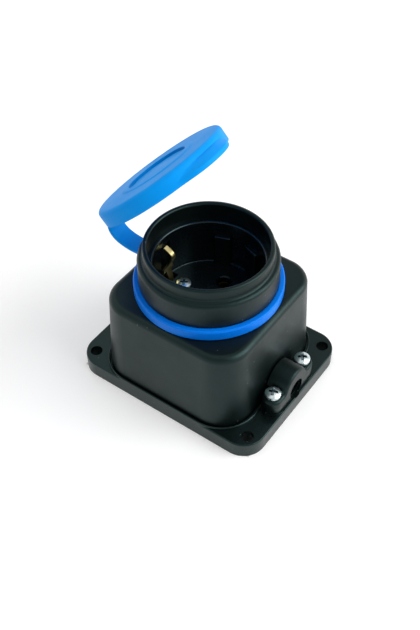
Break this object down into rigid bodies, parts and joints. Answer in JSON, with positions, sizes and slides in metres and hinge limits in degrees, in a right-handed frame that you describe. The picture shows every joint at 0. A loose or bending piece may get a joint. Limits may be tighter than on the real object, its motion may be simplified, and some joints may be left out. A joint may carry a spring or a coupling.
{
  "type": "rubber mains socket",
  "caption": "Surface-mounted rubber mains socket: a square housing on a screw-down flange with a round earthed plug recess, a flip lid on a strap and an outside cable clamp.",
  "frame": {"origin": "centre of the four flange holes, on the mounting face under the flange", "axes": "+Z out of the mounting face towards the plug, +X to the cable clamp, so the lid hangs at -X"},
  "size_m": [0.0823, 0.0634, 0.102],
  "materials": {
    "black_rubber": "matte moulded rubber",
    "black_plastic": "satin moulded plastic",
    "blue_rubber": "satin moulded rubber",
    "brass": "rolled strip, bright",
    "spring_steel": "blued spring steel",
    "zinc_steel": "bright zinc plating"
  },
  "bodies": {
    "socket": {"base": "black_rubber", "housing": "black_rubber", "clamp_saddle": "black_rubber", "socket_insert": "black_plastic", "contact_cover": "black_plastic", "lid_ring": "blue_rubber", "lid_strap": "blue_rubber", "earth_bracket": "brass", "line_contact": "brass", "neutral_contact": "brass", "line_terminal": "brass", "neutral_terminal": "brass", "earth_terminal": "brass", "pillar_sleeves": "brass", "contact_springs": "spring_steel", "terminal_screws": "zinc_steel", "insert_screws": "zinc_steel", "clamp_screws": "zinc_steel", "clamp_nuts": "zinc_steel"},
    "lid": {"lid": "blue_rubber"}
  },
  "joints": [
    {"name": "lid_hinge", "type": "hinge", "parent": "socket", "child": "lid", "pos_m": [-0.03808, -0.00126, 0.0486], "axis": [0.0332, -0.9995, 0], "range_deg": [-42.9, 77.1], "stiffness_Nm_per_rad": 0.006, "springref_deg": 9.74, "deforming": ["lid_strap"]}
  ]
}
